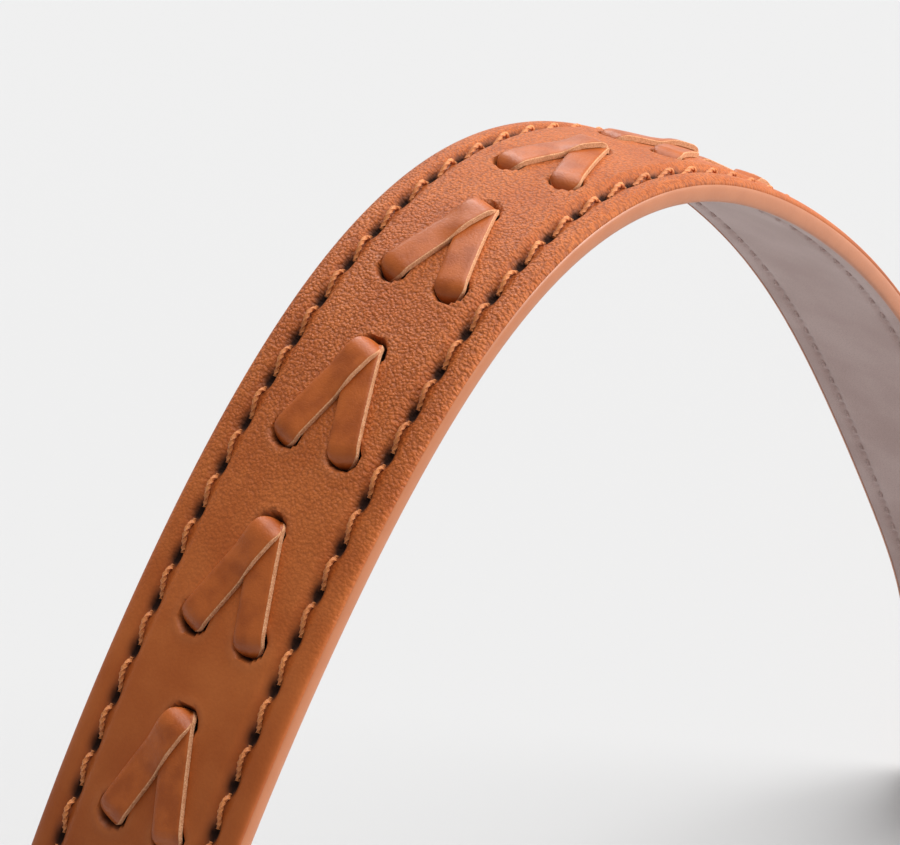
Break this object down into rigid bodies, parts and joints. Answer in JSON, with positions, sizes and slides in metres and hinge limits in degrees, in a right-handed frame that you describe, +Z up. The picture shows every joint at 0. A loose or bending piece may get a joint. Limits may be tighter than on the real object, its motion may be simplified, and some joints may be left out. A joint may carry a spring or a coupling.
{
  "type": "leather headband",
  "caption": "Arched leather headband with V-shaped lacing, stitched rows, painted edges and a soft lining over a springy steel strip.",
  "frame": {"origin": "midway between the two tips, on the surface that the tips stand on", "axes": "+X from the left tip to the right tip, +Y from the strap's front edge to its back edge, +Z up to the crown"},
  "size_m": [0.1655, 0.015, 0.1208],
  "materials": {
    "face_leather": "satin pebbled grain",
    "filler": "bonded fibre board",
    "spring_steel": "rolled strip",
    "tip_guard": "matte",
    "lining": "fine matte nap",
    "edge_paint": "semi-gloss edge paint",
    "lace": "smooth with raw edges",
    "thread": "waxed twisted thread"
  },
  "bodies": {
    "left_arm": {"outer_leather_left": "face_leather", "filler_strips_left": "filler", "spring_core_left": "spring_steel", "core_tip_guard_left": "tip_guard", "lining_left": "lining", "edge_paint_front_left": "edge_paint", "edge_paint_back_left": "edge_paint", "v_lace_left": "lace", "needle_thread_left": "thread", "bobbin_thread_left": "thread"},
    "right_arm": {"outer_leather_right": "face_leather", "filler_strips_right": "filler", "spring_core_right": "spring_steel", "core_tip_guard_right": "tip_guard", "lining_right": "lining", "edge_paint_front_right": "edge_paint", "edge_paint_back_right": "edge_paint", "v_lace_right": "lace", "needle_thread_right": "thread", "bobbin_thread_right": "thread"}
  },
  "joints": [
    {"name": "crown_flex", "type": "hinge", "parent": "left_arm", "child": "right_arm", "pos_m": [0, 0, 0.12029], "axis": [0, -1, 0], "range_deg": [0, 20], "stiffness_Nm_per_rad": 0.8}
  ]
}
